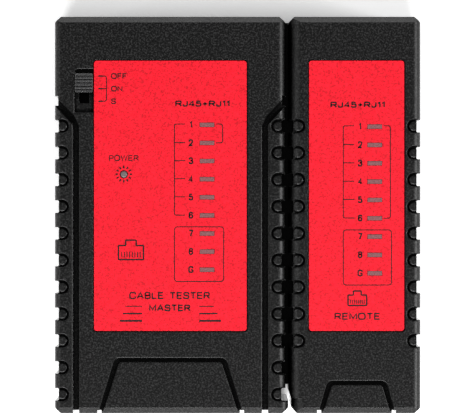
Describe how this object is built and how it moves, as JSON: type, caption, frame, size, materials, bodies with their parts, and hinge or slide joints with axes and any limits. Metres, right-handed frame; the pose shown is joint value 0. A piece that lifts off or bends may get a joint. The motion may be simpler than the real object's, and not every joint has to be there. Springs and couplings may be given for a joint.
{
  "type": "network cable tester",
  "caption": "Two-piece cable tester: a battery master with a slide switch, and a remote on a T-rail; each has an LED column and two modular jacks.",
  "frame": {"origin": "under the middle of the overall box, on the surface that the tester's back lies on", "axes": "+Z out of the front face, +Y towards the end with the jacks, +X from the master to the remote"},
  "size_m": [0.1024, 0.111, 0.0287],
  "materials": {
    "case_plastic": "black, fine spark-eroded texture, satin",
    "label_film": "red printed film with a fine grain",
    "board_laminate": "green solder mask",
    "jack_plastic": "black moulded",
    "contact_metal": "gold-flashed",
    "screw_steel": "zinc plated",
    "led_lens": "milky diffusing lens",
    "power_lens": "tinted diffusing lens",
    "switch_steel": "tin plated",
    "knob_plastic": "black moulded, ribbed",
    "chip_plastic": "moulded epoxy",
    "capacitor_sleeve": "blue sleeve",
    "resistor_body": "lacquered beige",
    "diode_glass": "amber glass",
    "battery_wrap": "plain printed steel jacket",
    "connector_vinyl": "soft vinyl",
    "red_insulation": "soft vinyl",
    "black_insulation": "soft vinyl",
    "foam": "closed-cell foam"
  },
  "bodies": {
    "master": {"master_front_shell": "case_plastic", "master_rear_shell": "case_plastic", "master_label": "label_film", "master_circuit_board": "board_laminate", "master_rj45_jack": "jack_plastic", "master_rj45_contacts": "contact_metal", "master_rj11_jack": "jack_plastic", "master_rj11_contacts": "contact_metal", "master_case_screws": "screw_steel", "master_board_screws": "screw_steel", "master_led_1": "led_lens", "master_led_2": "led_lens", "master_led_3": "led_lens", "master_led_4": "led_lens", "master_led_5": "led_lens", "master_led_6": "led_lens", "master_led_7": "led_lens", "master_led_8": "led_lens", "master_led_g": "led_lens", "power_led": "power_lens", "switch_frame": "switch_steel", "counter_chip": "chip_plastic", "timer_chip": "chip_plastic", "timing_capacitor": "capacitor_sleeve", "master_resistors": "resistor_body", "master_diodes": "diode_glass", "battery": "battery_wrap", "battery_terminals": "contact_metal", "battery_snap_connector": "connector_vinyl", "battery_lead_red": "red_insulation", "battery_lead_black": "black_insulation", "battery_pad": "foam"},
    "remote": {"remote_front_shell": "case_plastic", "remote_rear_shell": "case_plastic", "remote_label": "label_film", "remote_circuit_board": "board_laminate", "remote_rj45_jack": "jack_plastic", "remote_rj45_contacts": "contact_metal", "remote_rj11_jack": "jack_plastic", "remote_rj11_contacts": "contact_metal", "remote_case_screws": "screw_steel", "remote_board_screws": "screw_steel", "remote_led_1": "led_lens", "remote_led_2": "led_lens", "remote_led_3": "led_lens", "remote_led_4": "led_lens", "remote_led_5": "led_lens", "remote_led_6": "led_lens", "remote_led_7": "led_lens", "remote_led_8": "led_lens", "remote_led_g": "led_lens", "remote_resistor": "resistor_body", "remote_diodes": "diode_glass"},
    "door": {"battery_door": "case_plastic"},
    "switch": {"switch_slider": "knob_plastic"}
  },
  "joints": [
    {"name": "remote_slide", "type": "slide", "parent": "master", "child": "remote", "axis": [0, 1, 0], "range_m": [0, 0.106]},
    {"name": "battery_door_slide", "type": "slide", "parent": "master", "child": "door", "axis": [0, -1, 0], "range_m": [0, 0.06]},
    {"name": "switch_slide", "type": "slide", "parent": "master", "child": "switch", "axis": [0, -1, 0], "range_m": [0, 0.004]}
  ]
}
